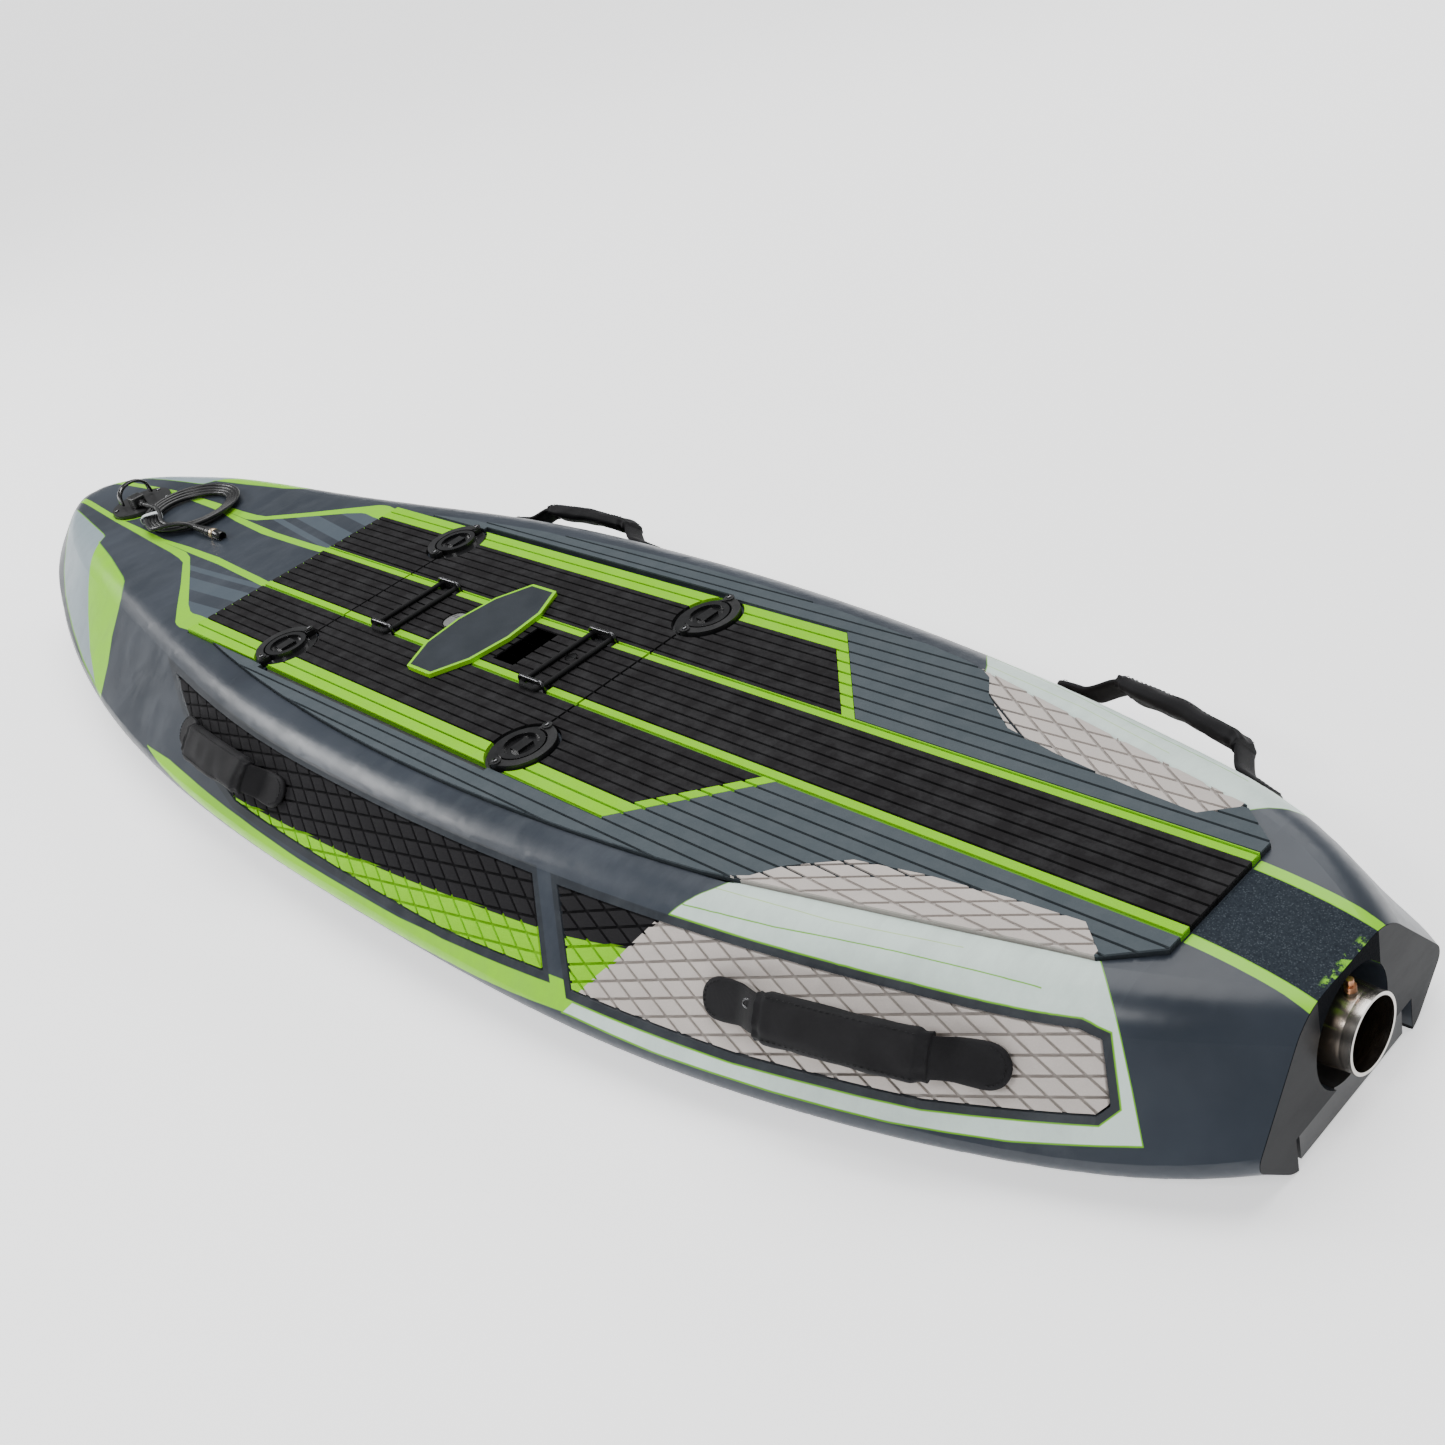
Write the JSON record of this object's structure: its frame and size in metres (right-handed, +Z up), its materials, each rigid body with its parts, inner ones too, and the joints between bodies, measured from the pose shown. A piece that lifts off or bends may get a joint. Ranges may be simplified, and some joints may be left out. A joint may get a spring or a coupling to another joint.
{
  "type": "motorized surfboard",
  "caption": "Decked board with a water jet in the tail, a lift-off latched hatch over its battery, grooved foam pads, side carry handles and a coiled lead at the nose.",
  "frame": {"origin": "centre of the floor rectangle under the board, on the floor it lies on", "axes": "+X to the nose, +Y to port, +Z up out of the deck"},
  "size_m": [1.912, 0.5714, 0.186],
  "materials": {
    "hull_shell": "semi-gloss moulded composite shell, slate grey with lime and mint paint bands",
    "lid_shell": "semi-gloss moulded composite, slate grey",
    "foam_black": "closed-cell deck foam with lengthwise grooves, black",
    "foam_grey": "closed-cell deck foam with lengthwise grooves, cool grey",
    "foam_lime": "closed-cell deck foam, lime green",
    "side_foam": "closed-cell foam with diamond grooves, black, lime and warm pale grey",
    "neoprene": "black neoprene sleeve on webbing",
    "latch_plastic": "black glass-filled nylon",
    "battery_case": "matt black case",
    "motor_case": "anodised motor case",
    "pump_plastic": "dark moulded pump and plate parts",
    "steel_pipe": "heat-tinted stainless pipe",
    "bolt_steel": "steel bolt with a copper-coloured tip",
    "grate_alloy": "cast intake grate",
    "fitting_black": "black nylon fitting",
    "cord_jacket": "black cable jacket",
    "tie_grey": "light grey tie",
    "plug_shell": "black plug with a metal collar",
    "emblem_face": "slate plate with a lime border, left blank",
    "cap_metal": "brushed metal vent cap, left blank",
    "grip_plastic": "moulded grip insert",
    "ring_metal": "dark metal lash rings",
    "bungee_cover": "braided black shock cord",
    "impeller_alloy": "cast impeller",
    "shaft_steel": "ground shaft"
  },
  "bodies": {
    "board": {"hull": "hull_shell", "front_pad": "foam_black", "lime_front": "foam_lime", "aft_pad": "foam_black", "lime_aft": "foam_lime", "grey_pad_port": "foam_grey", "grey_pad_stbd": "foam_grey", "rail_pad_front_port": "side_foam", "rail_pad_front_stbd": "side_foam", "rail_pad_rear_port": "side_foam", "rail_pad_rear_stbd": "side_foam", "carry_handle_front_port": "neoprene", "carry_handle_front_stbd": "neoprene", "carry_handle_rear_port": "neoprene", "carry_handle_rear_stbd": "neoprene", "latch_base_front_port": "latch_plastic", "latch_base_front_stbd": "latch_plastic", "latch_base_rear_port": "latch_plastic", "latch_base_rear_stbd": "latch_plastic", "battery": "battery_case", "motor": "motor_case", "pump_housing": "pump_plastic", "nozzle": "steel_pipe", "nozzle_bolt": "bolt_steel", "ride_plate": "pump_plastic", "intake_grate": "grate_alloy", "fin_boxes": "pump_plastic", "nose_base": "fitting_black", "nose_bail": "fitting_black", "cord_socket": "fitting_black", "cord_gland": "cord_jacket", "cord_lead": "cord_jacket", "cord_coil": "cord_jacket", "cord_tie": "tie_grey", "cord_tail": "cord_jacket", "cord_plug": "plug_shell"},
    "lid": {"lid": "lid_shell", "lid_pad": "foam_black", "lime_lid": "foam_lime", "latch_lever_front_port": "latch_plastic", "latch_lever_front_stbd": "latch_plastic", "latch_lever_rear_port": "latch_plastic", "latch_lever_rear_stbd": "latch_plastic", "emblem_plate": "emblem_face", "vent_cap": "cap_metal", "power_button": "fitting_black", "grip_insert": "grip_plastic", "lash_rings": "ring_metal", "bungee_loops": "bungee_cover"},
    "impeller": {"impeller": "impeller_alloy", "shaft": "shaft_steel"}
  },
  "joints": [
    {"name": "lid_lift", "type": "slide", "parent": "board", "child": "lid", "axis": [0, 0, 1], "range_m": [0, 0.3]},
    {"name": "impeller_spin", "type": "hinge", "parent": "board", "child": "impeller", "pos_m": [-0.76, 0, 0.066], "axis": [1, 0, 0], "continuous": true}
  ]
}
